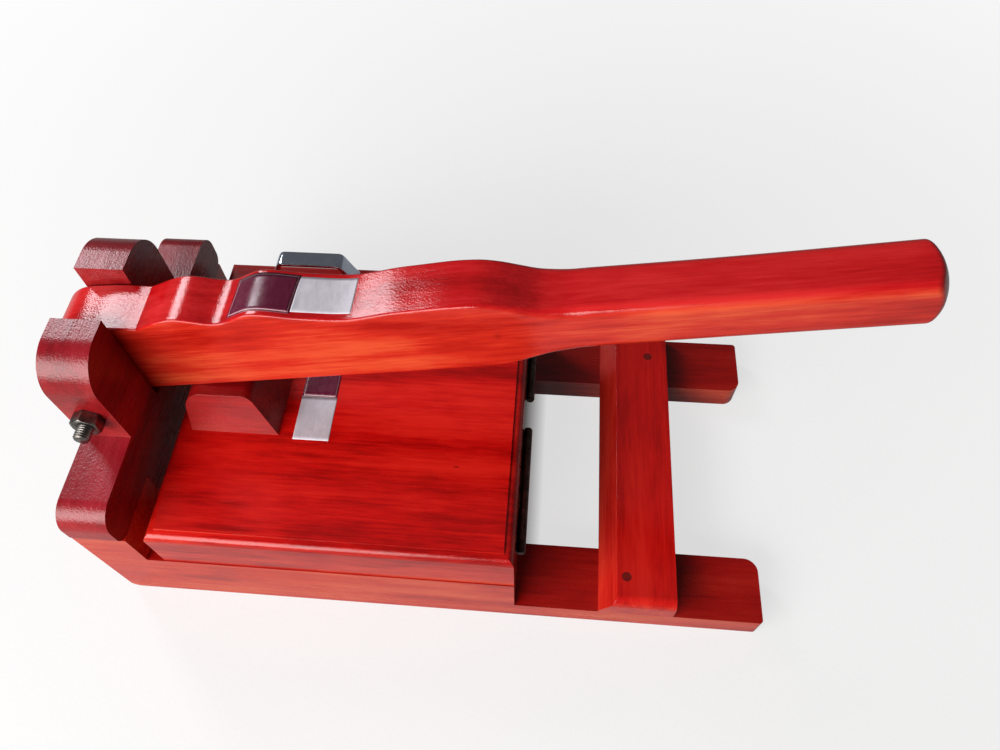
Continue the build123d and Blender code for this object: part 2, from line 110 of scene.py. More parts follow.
# %% A recipe of nodes
class Recipe:
    """The nodes of one material, or of the world, with the shader that they feed."""

    def __init__(self, owner, shader="Principled BSDF"):
        owner.use_nodes = True
        self.owner = owner
        self.tree = owner.node_tree
        self.shader = self.tree.nodes[shader]

    def join(self, socket, value):
        """Links a tap to a socket, or sets a plain value on it."""
        if isinstance(value, Tap):
            self.tree.links.new(value.socket, socket)
        else:
            socket.default_value = value

    def node(self, kind, settings=None, inputs=None, out=0):
        """Adds a node: its settings first, then its sockets' values or links. Gives the chosen output."""
        made = self.tree.nodes.new(kind)
        for key, value in (settings or {}).items():
            if key == "stops":
                elements = made.color_ramp.elements
                while len(elements) < len(value):
                    elements.new(1.0)
                for element, (position, colour) in zip(elements, value):
                    element.position = position
                    element.color = (*colour, 1.0)
            else:
                setattr(made, key, value)
        for key, value in (inputs or {}).items():
            self.join(made.inputs[key], value)
        return Tap(self, made.outputs[out])

    def feed(self, **sockets):
        """Sets or links the shader's own sockets; underscores stand for spaces."""
        for key, value in sockets.items():
            self.join(self.shader.inputs[key.replace("_", " ")], value)
        return self.owner

    def here(self):
        """The point on the piece, in metres."""
        return self.node("ShaderNodeTexCoord", out="Object")

    def place(self, turn=(0.0, 0.0, 0.0), scale=(1.0, 1.0, 1.0), shift=(0.0, 0.0, 0.0)):
        """The point on the piece, shifted, turned and stretched for a pattern."""
        given = {"Vector": self.here(), "Location": shift, "Rotation": turn, "Scale": scale}
        return self.node("ShaderNodeMapping", {"vector_type": "POINT"}, given)

    def noise(self, place, scale, detail=3.0, roughness=0.55, distortion=0.0):
        """Soft random noise from about 0.3 to 0.7, with grains of 1 / scale metres."""
        given = {"Vector": place, "Scale": scale, "Detail": detail, "Roughness": roughness}
        return self.node("ShaderNodeTexNoise", {}, {**given, "Distortion": distortion})

    def span(self, value, low, high, new_low=0.0, new_high=1.0):
        """Stretches a value from one span to another, and keeps it inside."""
        given = {0: value, 1: low, 2: high, 3: new_low, 4: new_high}
        return self.node("ShaderNodeMapRange", {"clamp": True}, given)

    def blend(self, share, first, second, way="MIX"):
        """Mixes two colours by a share."""
        settings = {"data_type": "RGBA", "blend_type": way}
        return self.node("ShaderNodeMix", settings, {0: share, 6: first, 7: second}, out=2)

    def ramp(self, value, stops):
        """A colour for each value between 0 and 1."""
        return self.node("ShaderNodeValToRGB", {"stops": stops}, {0: value})

    def vector(self, operation, first, second):
        """Adds a Vector Math node."""
        return self.node("ShaderNodeVectorMath", {"operation": operation}, {0: first, 1: second})

    def length(self, vector):
        """The length of a vector."""
        return self.node("ShaderNodeVectorMath", {"operation": "LENGTH"}, {0: vector}, out="Value")

    def bump(self, height, strength, distance):
        """A surface relief: height 0 to 1 stands for the distance in metres."""
        return self.node("ShaderNodeBump", {}, {"Strength": strength, "Distance": distance, "Height": height})


def new_finish(name):
    """An empty recipe for a new material."""
    return Recipe(bpy.data.materials.new(name))


def tone(code):
    """A colour written as on a paint card, #rrggbb, turned to the linear values that shaders use."""
    parts = [int(code[i : i + 2], 16) / 255 for i in (1, 3, 5)]
    return tuple(p / 12.92 if p <= 0.04045 else ((p + 0.055) / 1.055) ** 2.4 for p in parts)


print("paint card check, mid grey:", [round(part, 3) for part in tone("#bcbcbc")])

# %% [markdown]
# ## Stained wood under gloss varnish
#
# The press is softwood, brushed with a red stain and a thick varnish. Three things make it look so: the
# stain takes unevenly and leaves dark streaks along the grain, fine pores run the same way, and the
# varnish has dried with the slight waviness of orange peel, which breaks up each reflection.
#
# A picture of wood would show its edges and its repeats on pieces of so many sizes. Noise has neither, and
# it runs on through a rounded edge as real grain does. Each noise is stretched along the grain, at its own
# scale, and they are summed to one level that picks a tone from dark to bright. A last step paints light
# into the colour: the faces that look up get the tint that the light over them would give.

# %% Wood recipe
NOISE_MEAN = 0.5


# upper is painted light: a tint for the faces that look up, standing in for the light that falls on them
def varnished_wood(name, dark, middle, bright, along="X", tilt=0.0, seed=0.0, gloss=0.20, peel=0.5,
                   figure=1.0, upper=(0.8, 0.4, 0.6), knots=()):
    """Red stained wood with its grain along X or Y, or along X tilted up by some radians."""
    wood = new_finish(name)
    dark, middle, bright = tone(dark), tone(middle), tone(bright)
    turn = (0.0, tilt, math.pi / 2 if along == "Y" else 0.0)
    point = wood.place(turn=turn, shift=(seed, seed * 0.37, seed * 0.61))

    def along_grain(share):
        """The point with its distance along the grain cut to a share, so that noise runs long there."""
        return wood.vector("MULTIPLY", point, (share, 1.0, 1.0))

    # The figure: four kinds of noise that run with the grain, and blotches that don't
    long_grain, short_grain, pore_grain = along_grain(0.035), along_grain(0.15), along_grain(0.02)
    streaks = wood.noise(long_grain, scale=95.0, detail=4.0, roughness=0.60, distortion=0.15)
    bands = wood.noise(short_grain, scale=42.0, detail=3.0, roughness=0.55, distortion=0.45)
    flecks = wood.noise(short_grain, scale=320.0, detail=3.0, roughness=0.60, distortion=0.10)
    fibres = wood.noise(long_grain, scale=700.0, detail=3.0, roughness=0.65)
    blotches = wood.noise(point, scale=11.0, detail=3.0, roughness=0.6, distortion=0.2)
    pores = wood.span(wood.noise(pore_grain, scale=1500.0, detail=1.0), 0.62, 0.74)

    level = 0.5 + (blotches - NOISE_MEAN) * 0.8
    for noise, share in ((streaks, 0.85), (bands, 1.45), (flecks, 0.5), (fibres, 0.65)):
        level = level + (noise - NOISE_MEAN) * (share * figure)
    stain_and_painted_light = wood.ramp(level.most(0.0).least(1.0), [(0.12, dark), (0.50, middle), (0.88, bright)])
    stain_and_painted_light = wood.blend(pores * 0.30, stain_and_painted_light, (*dark, 1.0))

    # Painted light: the faces that look up are tinted by the upper factors, darker or brighter, as the light over
    # them would colour them
    normal = wood.node("ShaderNodeNewGeometry", out="Normal")
    up = wood.node("ShaderNodeSeparateXYZ", {}, {0: normal}, out="Z")
    painted_top_light = wood.blend(1.0, stain_and_painted_light, (*upper, 1.0), "MULTIPLY")
    stain_and_painted_light = wood.blend(wood.span(up, 0.25, 0.85), stain_and_painted_light, painted_top_light)

    # A knot: the distance from its middle, ragged by the streaks, fading from its core to its rim
    for centre, size, depth in knots:
        away = wood.vector("MULTIPLY", wood.vector("SUBTRACT", wood.here(), centre), (0.5, 1.0, 0.3))
        ragged = wood.length(away) + (streaks - NOISE_MEAN) * (size * 1.6)
        shade = wood.span(ragged, size, size * 0.2)
        stain_and_painted_light = wood.blend(shade * depth, stain_and_painted_light, (*[part * 0.30 for part in dark], 1.0))

    # The varnish's own surface: orange peel, slow waves, and ridges that follow the brush
    peeling = wood.noise(point, scale=780.0, detail=2.0, roughness=0.5)
    waves = wood.noise(point, scale=110.0, detail=2.0, roughness=0.5)
    brush = wood.noise(short_grain, scale=240.0, detail=2.0, roughness=0.5)
    relief = peeling * 0.45 + waves * 0.35 + brush * 0.20 - pores * 0.10
    return wood.feed(
        Base_Color=stain_and_painted_light,
        Roughness=wood.span(blotches + fibres * 0.3, 0.4, 0.9, gloss, gloss + 0.12),
        Normal=wood.bump(relief, strength=peel, distance=0.6 * MM),
        IOR=1.5,
        Specular_IOR_Level=0.45,
    )


# %% [markdown]
# Each piece was cut from its own stock and stained by hand, so each gets its own tones: the lever is the
# brightest, the boards are a deep even red, and the frame, the feet and the block are darker crimson. One
# recipe with a few settings keeps them of one family. The seed moves each piece to its own part of the
# noise, as no two boards have the same grain.

# %% The woods of this press
pivot = next(joint for joint in frame["joints"] if joint["name"] == "lever_pivot")
pivot_x, _, pivot_z = pivot["pos_m"]
LEVER_TILT = math.radians(11.79)

# Each upper tint is painted light on the faces that look up, not part of the stain
lever_wood = varnished_wood(
    "lever_wood", "#b5180f", "#db3120", "#f05a35", tilt=LEVER_TILT, seed=3.1, gloss=0.08, peel=0.32,
    upper=(0.86, 0.22, 0.66), knots=(((0.029, -0.0175, 0.210), 1.6 * MM, 0.25),),
)
board_wood = varnished_wood(
    "board_wood", "#9a0c0a", "#cb2a1c", "#e04c30", seed=7.7, gloss=0.15, peel=0.35, figure=1.15,
    upper=(1.1, 0.23, 0.33),
    knots=(((0.002, -0.052, 0.107), 1.4 * MM, 0.9), ((-0.014, -0.061, 0.107), 6.0 * MM, 0.25)),
)
rail_wood = varnished_wood(
    "rail_wood", "#a61b10", "#cf3621", "#de5835", seed=12.3, upper=(0.62, 0.13, 0.19),
)
foot_wood = varnished_wood(
    "crossbar_wood", "#a01512", "#cb2c20", "#da452f", along="Y", seed=15.9, gloss=0.14, peel=0.3,
    upper=(1.1, 0.28, 0.34),
)
frame_wood = varnished_wood(
    "frame_wood", "#740e12", "#9c1a1e", "#b12e2e", along="Y", seed=21.4, peel=0.6, figure=0.8,
    upper=(0.90, 0.62, 1.1),
)
block_wood = varnished_wood(
    "block_wood", "#8c1010", "#b92220", "#cf3c30", seed=27.2, peel=0.6, figure=0.8,
    upper=(0.70, 0.30, 0.50),
)
print("woods:", [wood.name for wood in (lever_wood, board_wood, rail_wood, foot_wood, frame_wood, block_wood)])

# %% [markdown]
# ## Metals
#
# The nut and bolt are dark zinc, rubbed bright where a spanner touched. The handle is bent chrome. The
# hinges are darkened steel. Metal is mostly what it reflects, so its recipe is short: a base colour in two
# tones, and a roughness and a relief that vary a little. A filler paste covers the crossbar's screws.

# %% Metal recipes
def worn_metal(name, base, dull, roughness, spread=0.12, relief=0.15):
    """Plated steel: two tones in soft patches, with fine scratches."""
    metal = new_finish(name)
    patches = metal.span(metal.noise(metal.place(), scale=160.0, detail=4.0, roughness=0.6), 0.35, 0.65)
    scratches = metal.noise(metal.place(scale=(0.2, 1.0, 1.0)), scale=900.0, detail=2.0, roughness=0.5)
    return metal.feed(
        Base_Color=metal.blend(patches, (*tone(base), 1.0), (*tone(dull), 1.0)),
        Metallic=1.0,
        Roughness=metal.span(patches + scratches * 0.4, 0.2, 1.2, roughness, roughness + spread),
        Normal=metal.bump(scratches, strength=relief, distance=0.1 * MM),
    )


def filler_paste(name):
    """Wood filler over a screw: smooth, a little darker than the wood, under the same varnish."""
    paste = new_finish(name)
    specks = paste.noise(paste.place(), scale=700.0, detail=3.0, roughness=0.6)
    return paste.feed(
        Base_Color=paste.ramp(specks, [(0.3, tone("#6a110d")), (0.7, tone("#861a14"))]),
        Roughness=paste.span(specks, 0.3, 0.7, 0.25, 0.40),
        Normal=paste.bump(specks, strength=0.3, distance=0.3 * MM),
    )


bolt_metal = worn_metal("bolt_metal", "#8f8c88", "#57524e", 0.28)
ring_metal = worn_metal("washer_metal", "#b9b7b2", "#8b8986", 0.25)
hinge_metal = worn_metal("hinge_metal", "#5a4a44", "#352a27", 0.32)
screw_metal = worn_metal("screw_metal", "#b0a890", "#8d8674", 0.30)
chrome = worn_metal("handle_chrome", "#ccd3e2", "#bac2d3", 0.09, spread=0.06, relief=0.05)
filler = filler_paste("plug_filler")
print("metals:", [metal.name for metal in (bolt_metal, ring_metal, hinge_metal, screw_metal, chrome)])

# %% [markdown]
# ## Dressing the solids
#
# Every solid first gets the recipe of its piece, also those that a finer piece replaces further on, so that
# nothing is left bare. The ones whose shape is already right stay as they are.

# %% Recipes for the solids
recipes = {
    "near_rail": rail_wood,
    "far_rail": rail_wood,
    "front_crossbar": foot_wood,
    "crossbar_plugs": filler,
    "pivot_frame": frame_wood,
    "lower_board": board_wood,
    "upper_board": board_wood,
    "cam_block": block_wood,
    "lever": lever_wood,
    "pivot_bolt": bolt_metal,
    "pivot_nut": bolt_metal,
    "head_washer": ring_metal,
    "lever_washers": ring_metal,
    "lift_handle": chrome,
}
for name, node in frame["nodes"].items():
    if "hinge_" in name and "screws" not in name:
        recipe = hinge_metal
    else:
        recipe = recipes.get(name, screw_metal)
    node.material_slots[0].material = recipe
print("dressed:", len(frame["nodes"]))

# %% [markdown]
# ## Eased edges
#
# A solid's edge is perfectly sharp, and a real one never is: it is sanded round and then rounded more by
# varnish, and that line of light along each edge is half of what makes wood look real. The solid itself
# stays untouched, so a copy of it is merged to a clean mesh, and a Bevel modifier rounds its sharp edges.
# A modifier is chosen over new geometry because one width is then all that a piece needs. A second
# modifier weighs the normals by area, so that the large faces still shine as flat ones do.

# %% How a finished piece takes its place
bodies = {node: body for body, nodes in frame["record"]["behaviour"]["bodies"].items() for node in nodes}


def settle(piece, node):
    """Gives a finished piece the body of the solid that it replaces, and hides that solid."""
    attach(piece, bodies[node])
    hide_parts(node)


def even_light(piece):
    """Lets the large flat faces keep their own direction, so that narrow roundings don't bend their shine."""
    weighted = piece.modifiers.new("flat faces stay flat", "WEIGHTED_NORMAL")
    weighted.mode = "FACE_AREA"
    weighted.weight = 90
    return piece


# %% A copy with sanded edges
SAME_POINT = 1e-6
SAME_PLANE = math.radians(0.6)
SHARP = math.radians(32)
EDGE_WIDTHS = {
    "near_rail": 1.1,
    "far_rail": 1.1,
    "front_crossbar": 1.4,
    "pivot_frame": 2.0,
    "lower_board": 0.8,
    "upper_board": 0.4,
    "cam_block": 1.2,
    "head_washer": 0.3,
}


def eased(node, width, steps=3):
    """A copy of a solid whose sharp edges are rounded by width metres."""
    source = frame["nodes"][node]
    mesh = source.data.copy()
    mesh.name = f"{node}_eased"
    work = bmesh.new()
    work.from_mesh(mesh)
    bmesh.ops.remove_doubles(work, verts=work.verts, dist=SAME_POINT)
    bmesh.ops.dissolve_limit(work, angle_limit=SAME_PLANE, verts=work.verts, edges=work.edges)
    work.to_mesh(mesh)
    work.free()
    mesh.shade_smooth()
    piece = bpy.data.objects.new(f"{node}_eased", mesh)
    bpy.context.scene.collection.objects.link(piece)
    piece.material_slots[0].material = source.material_slots[0].material
    bevel = piece.modifiers.new("sanded edges", "BEVEL")
    bevel.width = width
    bevel.segments = steps
    bevel.limit_method = "ANGLE"
    bevel.angle_limit = SHARP
    settle(even_light(piece), node)


for node, width in EDGE_WIDTHS.items():
    eased(node, width * MM)
print("eased edges, in mm:", EDGE_WIDTHS)

# %% [markdown]
# ## Surfaces on a grid
#
# The pieces from here on are new shapes. Each is a function of two parameters, worked out with numpy for
# the whole grid at once. Modelling them by hand would leave no numbers to change later, and a formula
# keeps them smooth at any fineness. One helper turns a grid of points into a mesh, closes it round, and
# merges the points that fall together at its ends.

# %% From a grid of points to a mesh
def grid_piece(name, points, material, closed=True):
    """Points in rows and columns, shape (rows, columns, 3), as quads. Columns close to a loop if closed."""
    rows, columns = points.shape[:2]
    index = np.arange(rows * columns).reshape(rows, columns)
    if closed:
        index = np.concatenate([index, index[:, :1]], axis=1)
    corners = [index[:-1, :-1], index[:-1, 1:], index[1:, 1:], index[1:, :-1]]
    quads = np.stack(corners, axis=-1).reshape(-1, 4)
    mesh = bpy.data.meshes.new(name)
    mesh.from_pydata(points.reshape(-1, 3).tolist(), [], quads.tolist())
    work = bmesh.new()
    work.from_mesh(mesh)
    bmesh.ops.remove_doubles(work, verts=work.verts, dist=2 * SAME_POINT)
    bmesh.ops.dissolve_degenerate(work, edges=work.edges, dist=0.1 * SAME_POINT)
    bmesh.ops.recalc_face_normals(work, faces=work.faces)
    work.to_mesh(mesh)
    work.free()
    mesh.shade_smooth()
    piece = bpy.data.objects.new(name, mesh)
    bpy.context.scene.collection.objects.link(piece)
    mesh.materials.append(material)
    print(name, "faces:", len(mesh.polygons))
    return piece


def flowing(knots, x):
    """A smooth curve through (place, value) knots: cubic pieces, each with the slopes that the parabola
    through a knot and its two neighbours has there."""
    places, values = np.asarray(knots, float).T
    slopes = np.gradient(values, places)
    i = np.clip(np.searchsorted(places, x, side="right") - 1, 0, len(places) - 2)
    gap = places[i + 1] - places[i]
    t = (x - places[i]) / gap
    return (
        values[i] * (1 + 2 * t) * (1 - t) ** 2
        + values[i + 1] * t * t * (3 - 2 * t)
        + slopes[i] * gap * t * (1 - t) ** 2
        + slopes[i + 1] * gap * t * t * (t - 1)
    )


# %% [markdown]
# ## The lever
#
# The lever is one plank, sawn to a wavy upper edge and a straight lower one, and thinned to a square grip
# whose edges are softened by hand. It could be a box with bevelled edges, but a bevel has one width, and
# here the softening grows along the piece. So its surface is a ring carried along the plank. At each place
# the ring runs over the upper edge, down the far side, under the lower edge and up the near side, and its
# four corners are quarter circles. Their radius is small on the plank and grows where the grip begins.
#
# The lever has its own directions, in millimetres from its pivot: u along it, n up from it, y across it.

# %% The lever's two edges
TAIL = 36.5
BELLY = 33.4
CREASE = 38.0
LENGTH = 489.0
THICK_HALF = 17.5
TAIL_REACH = -12.0
UPPER_WAVES = [
    (CREASE, 30.2), (66.0, 36.3), (93.5, 29.0), (116.0, 35.0), (145.0, 28.0), (177.0, 23.0), (188.0, 24.1),
    (198.0, 25.4), (202.0, 25.7), (212.0, 26.1), (240.0, 26.6), (252.0, 25.5), (262.0, 22.7), (272.0, 18.8),
    (281.0, 15.4), (292.0, 13.5), (312.0, 12.9), (370.0, 11.6), (LENGTH, 11.4),
]
LOWER_LINE = [
    (-15.0, -BELLY), (235.0, -BELLY), (250.0, -33.2), (262.0, -31.4), (273.0, -28.2), (284.0, -25.3),
    (296.0, -23.8), (312.0, -22.8), (340.0, -22.5), (LENGTH, -22.5),
]


def tail_height(u):
    """The round tail's height above the pivot: sqrt(R^2 - u^2), and 0 beyond it."""
    return np.sqrt(np.maximum(TAIL**2 - u**2, 0.0))


def upper_edge(u):
    """Height above the pivot: the tail's circle, a small rise that starts on it, a crease, then waves."""
    start = [(place, tail_height(place)) for place in (-28.0, -20.0, TAIL_REACH)]
    rise = flowing(start + [(8.0, 35.0), UPPER_WAVES[0]], u)
    return np.where(u < TAIL_REACH, tail_height(u), np.where(u < CREASE, rise, flowing(UPPER_WAVES, u)))


def lower_edge(u):
    """The belly: the tail's circle where it is above the straight line, then that line, up to the grip."""
    return np.where(u < -np.sqrt(TAIL**2 - BELLY**2), -tail_height(u), flowing(LOWER_LINE, u))


for part, station in (("first wave", 66.0), ("grip", 370.0)):
    print(part, "height, in mm:", round(float(upper_edge(station) - lower_edge(station)), 1))

# %% Stations along the lever
STATION_GAP = 2.5
CORNER_RADII = [(-TAIL, 1.4), (240.0, 1.9), (262.0, 3.0), (300.0, 6.2), (LENGTH, 6.2)]
DOME = 34.0
DOME_EDGE = 2.4
DOME_CENTRE = LENGTH - DOME
SIDE_END = DOME_CENTRE - 2.0


def lever_edges():
    """Stations along the lever, both edges there, and the corners' radius."""
    tail = -TAIL * np.cos(np.linspace(0.0, 1.25, 22))
    plank = np.arange(tail[-1] + 2.0, SIDE_END, STATION_GAP)
    u = np.unique(np.concatenate([tail, plank, [CREASE - 0.8, CREASE, CREASE + 0.8, SIDE_END]]))
    top, low = upper_edge(u), lower_edge(u)
    corner = np.minimum(np.interp(u, *zip(*CORNER_RADII)), (top - low) * 0.48 + 0.05)
    corner[0] = 0.0
    return u, top, low, corner


def outward(u, n, sign):
    """Unit vectors square to an edge, pointing up for 1 and down for -1, and straight out at the tail."""
    du, dn = np.gradient(u), np.gradient(n)
    size = np.hypot(du, dn)
    nu, nn = -sign * dn / size, sign * du / size
    nu[0], nn[0] = -1.0, 0.0
    return nu, nn


def to_frame(u, n, y):
    """From the lever's own directions to the press's: turned up by the tilt about the pivot, in metres."""
    c, s = math.cos(LEVER_TILT), math.sin(LEVER_TILT)
    x = pivot_x + (u * c - n * s) * MM
    z = pivot_z + (u * s + n * c) * MM
    return np.stack([x, np.broadcast_to(y, u.shape) * MM, z], -1)


# %% The ring round the lever
def lever_rings():
    """Rings as (u, n, y): each corner's arc sinks by r(1 - cos a) while y comes in by r(1 - sin a)."""
    u, top, low, r = lever_edges()
    edges = {1: (u, top, *outward(u, top, 1)), -1: (u, low, *outward(u, low, -1))}
    arc = np.linspace(0.0, math.pi / 2, 7)
    columns = []

    def wall(sign, side):
        """The upper or lower wall, crossed from one side's corner to the other's."""
        for share in np.linspace(-1.0, 1.0, 7)[1:-1]:
            columns.append((*edges[sign][:2], side * share * (THICK_HALF - r)))

    def corner(sign, side, angles):
        """A corner's quarter circle."""
        eu, en, nu, nn = edges[sign]
        for a in angles:
            sink = r * (1.0 - math.cos(a))
            columns.append((eu - nu * sink, en - nn * sink, side * (THICK_HALF - r * (1 - math.sin(a)))))

    def flank(side, start):
        """A flat side, from under one corner to the other."""
        inner = {k: (edges[k][0] - edges[k][2] * r, edges[k][1] - edges[k][3] * r) for k in (1, -1)}
        (au, an), (bu, bn) = inner[start], inner[-start]
        y = side * THICK_HALF * np.ones_like(u)
        for share in np.linspace(0.0, 1.0, 10)[1:-1]:
            columns.append((au + (bu - au) * share, an + (bn - an) * share, y))

    wall(1, 1)
    corner(1, 1, arc)
    flank(1, 1)
    corner(-1, 1, arc[::-1])
    wall(-1, -1)
    corner(-1, -1, arc)
    flank(-1, -1)
    corner(1, -1, arc[::-1])
    return [np.stack([column[k] for column in columns], axis=1) for k in range(3)]


# %% [markdown]
# The grip ends in a dome, turned about the grip's own axis, so its four rounded flats run out in arcs. A
# flat cap would give away that the end was never worked. For each point of the last ring, its distance r
# from that axis says how far it goes before it meets the sphere. From there the ring shrinks to the axis
# on the sphere, and the sharp rim between the two is replaced by a parabola that touches both.

# %% The domed end
GRIP_MIDDLE = -5.55


def dome_rows(u, n, y):
    """Rows from the last ring to the tip: u = centre + sqrt(R^2 - r^2), the rim a parabola through both."""
    across, above = y[-1], n[-1] - GRIP_MIDDLE
    r = np.hypot(across, above)
    rim = DOME_CENTRE + np.sqrt(DOME**2 - r**2)
    inner = r - DOME_EDGE
    on_dome = DOME_CENTRE + np.sqrt(DOME**2 - inner**2)
    rows = [(u[-1] + (rim - DOME_EDGE - u[-1]) * k, np.ones_like(r)) for k in np.linspace(0.0, 1.0, 8)[1:]]
    for t in np.linspace(0.0, 1.0, 7)[1:]:
        a, b, c = (1 - t) ** 2, 2 * t * (1 - t), t * t
        rows.append((a * (rim - DOME_EDGE) + b * rim + c * on_dome, (a * r + b * r + c * inner) / r))
    for m in np.linspace(1.0, 0.0, 10)[1:]:
        rows.append((DOME_CENTRE + np.sqrt(DOME**2 - (inner * m) ** 2), inner * m / r))
    return [
        np.stack([row[0] for row in rows]),
        np.stack([GRIP_MIDDLE + above * row[1] for row in rows]),
        np.stack([across * row[1] for row in rows]),
    ]


rings = lever_rings()
whole = [np.concatenate([ring, end]) for ring, end in zip(rings, dome_rows(*rings))]
lever = even_light(grid_piece("lever_plank", to_frame(*whole), lever_wood))
settle(lever, "lever")

# %% [markdown]
# ## The pivot bolt and its nut
#
# The bolt's threaded end stands out of the nut on the near horn. Thread could be painted on as relief, but
# it shows in the bolt's outline, so it is real here. A thread is a circle whose radius rises and falls once
# per pitch, with the rise turned round the bolt once per pitch as well. A hexagon is a circle whose radius
# is the distance to the nearest flat, and turning its corners on a lathe cuts that radius down to a cone
# near the face.

# %% Points round the pivot
nut_low, nut_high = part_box("pivot_nut")
bolt_low, bolt_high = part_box("pivot_bolt")
head_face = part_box("head_washer")[1].y
BOLT_R = 5.0 * MM
PITCH = 1.5 * MM
THREAD = 0.75 * MM
THREAD_PAST_NUT = 6.0 * MM
POINT_CHAMFER = 1.0 * MM
FLATS = 17.0 * MM


def around(count):
    """Angles once round, without the last."""
    return np.linspace(0.0, 2 * math.pi, count, endpoint=False)


def lathe_points(y, radius, angle):
    """Points round the pivot's axis for each place y and angle, at a radius given for both."""
    y = np.broadcast_to(np.asarray(y, float)[:, None], radius.shape)
    return np.stack([pivot_x + radius * np.cos(angle), y, pivot_z + radius * np.sin(angle)], -1)


# %% Bolt with a rolled thread
def threaded_rod():
    """The bolt from its end to under its head: r = root + depth * triangle(y / pitch - angle / turn)."""
    end = bolt_low.y
    angle = around(48)[None, :]
    thread_end = nut_high.y + THREAD_PAST_NUT
    plain = [thread_end + 2 * MM, head_face + 2 * MM]
    y = np.concatenate([np.arange(end, thread_end, PITCH / 10), plain])
    phase = y[:, None] / PITCH - angle / (2 * math.pi)
    rise = 1.0 - np.abs(2.0 * (phase - np.floor(phase)) - 1.0)
    radius = BOLT_R - THREAD + THREAD * np.clip(rise * 1.3 - 0.12, 0.0, 1.0)
    radius = np.where(y[:, None] > thread_end, BOLT_R, radius)
    radius = np.minimum(radius, BOLT_R - POINT_CHAMFER + np.abs(y[:, None] - end))
    y = np.concatenate([[end], y, [y[-1]]])
    radius = np.concatenate([radius[:1] * 0.0, radius, radius[:1] * 0.0])
    return lathe_points(y, radius, np.broadcast_to(angle, radius.shape))


rod = grid_piece("bolt_thread", threaded_rod(), bolt_metal)
settle(rod, "pivot_bolt")

# %% Hexagons of the head and the nut
def hexagon(face, back, bore, turn):
    """A hexagon turned on a lathe: r = the nearest flat's distance / cos of the angle to its middle, cut by
    a cone near the face, and open at its bore."""
    chamfer, cone_start, cone_slope = 0.5 * MM, FLATS / 2 * 0.94, 1.6
    out = 1.0 if back > face else -1.0
    depth = abs(back - face)
    angle = around(96)[None, :]
    flat = FLATS / 2 / np.cos((angle - turn + math.pi / 6) % (math.pi / 3) - math.pi / 6)
    steps = np.concatenate([np.linspace(0.0, 1.7 * MM, 12), [depth * 0.5, depth]])
    outer = np.minimum(flat, cone_start + steps[:, None] * cone_slope)
    hole = np.full_like(flat, bore)
    radius = np.concatenate([hole, hole, hole + chamfer, outer, hole])
    y = np.concatenate([[back, face + out * chamfer, face], face + out * steps, [back]])
    return lathe_points(y, radius, np.broadcast_to(angle, radius.shape))


head = even_light(grid_piece("bolt_head", hexagon(bolt_high.y, head_face, 0.5 * MM, 0.3), bolt_metal))
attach(head, "base")
nut = even_light(grid_piece("hex_nut", hexagon(nut_low.y, nut_high.y, BOLT_R * 0.96, 0.05), bolt_metal))
settle(nut, "pivot_nut")

# %% [markdown]
# ## The bow handle
#
# The handle is a flat chromed bar bent to a bow. A path with a bevelled curve would pinch at the bends, so
# its middle line is a formula too. It is the lowest of three lines, two steep legs and a flat top, with the
# corners between them made soft. A flat section with round edges is carried along it, and it grows thicker
# towards the feet, where the screws go in.

# %% A bent bar
handle_low, handle_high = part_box("lift_handle")
handle_y = (handle_low.y + handle_high.y) / 2
BAR_THIN = 1.7 * MM
BAR_FOOT = 3.2 * MM
BEND = 1.5 * MM
LEG_SLOPE = 2.3
FOOT_FADE = 2.2
SECTION_POINTS = 40


def bow_line():
    """The bar's middle line, at even steps along it: z = -bend * log of the sum of exp(-line / bend) over
    the two steep legs and the flat top, which is their soft minimum."""
    middle = (handle_low.x + handle_high.x) / 2
    half = (handle_high.x - handle_low.x) / 2 - BAR_FOOT
    top = handle_high.z - BAR_THIN - handle_low.z
    x = np.linspace(-half, half, 2000)
    legs = np.exp(-(x + half) * LEG_SLOPE / BEND) + np.exp((x - half) * LEG_SLOPE / BEND)
    z = np.maximum(-BEND * np.log(legs + math.exp(-top / BEND)), 0.0)
    along = np.concatenate([[0.0], np.cumsum(np.hypot(np.diff(x), np.diff(z)))])
    even = np.linspace(0.0, along[-1], 110)
    return middle + np.interp(even, along, x), handle_low.z + np.interp(even, along, z)


def rounded(wave):
    """A sine or cosine drawn towards its sign: |wave|^0.4, so that a circle turns to a rounded bar."""
    return np.sign(wave) * np.abs(wave) ** 0.4


def bow():
    """A section |s/w|^5 + |d/h|^5 = 1 carried square to the middle line, thicker near the feet."""
    x, z = bow_line()
    along = np.stack([np.gradient(x), np.gradient(z)], -1)
    along[0], along[-1] = (0.0, 1.0), (0.0, -1.0)
    along /= np.linalg.norm(along, axis=1, keepdims=True)
    side = np.stack([-along[:, 1], along[:, 0]], -1)
    height = (z - handle_low.z) / (handle_high.z - handle_low.z)
    thick = BAR_THIN + (BAR_FOOT - BAR_THIN) * np.clip(1.0 - height * FOOT_FADE, 0.0, 1.0) ** 2
    width = (handle_high.y - handle_low.y) / 2
    angle = around(SECTION_POINTS)
    across = thick[:, None] * rounded(np.sin(angle))[None, :]
    px = x[:, None] + side[:, :1] * across
    pz = np.maximum(z[:, None] + side[:, 1:] * across, handle_low.z)
    py = np.broadcast_to(handle_y + width * rounded(np.cos(angle))[None, :], px.shape)
    ring = np.stack([px, py, pz], -1)
    centre = np.stack([x, np.full_like(x, handle_y), z], -1)[:, None, :] * np.ones((1, SECTION_POINTS, 1))
    return np.concatenate([centre[:1], ring, centre[-1:]])


handle = grid_piece("bow_handle", bow(), chrome)
settle(handle, "lift_handle")

# %% [markdown]
# ## Blank labels
#
# Two foil stickers lie on the press, one over the lever's second wave and one on the upper board. Here they
# stay blank: a dark red panel with a thin pale line round it, and a silver panel beside it. They could be
# drawn into the wood's recipe, but then they would shine as varnish does. So each is a thin sheet that
# follows what it is stuck on, a few hundredths of a millimetre above it.

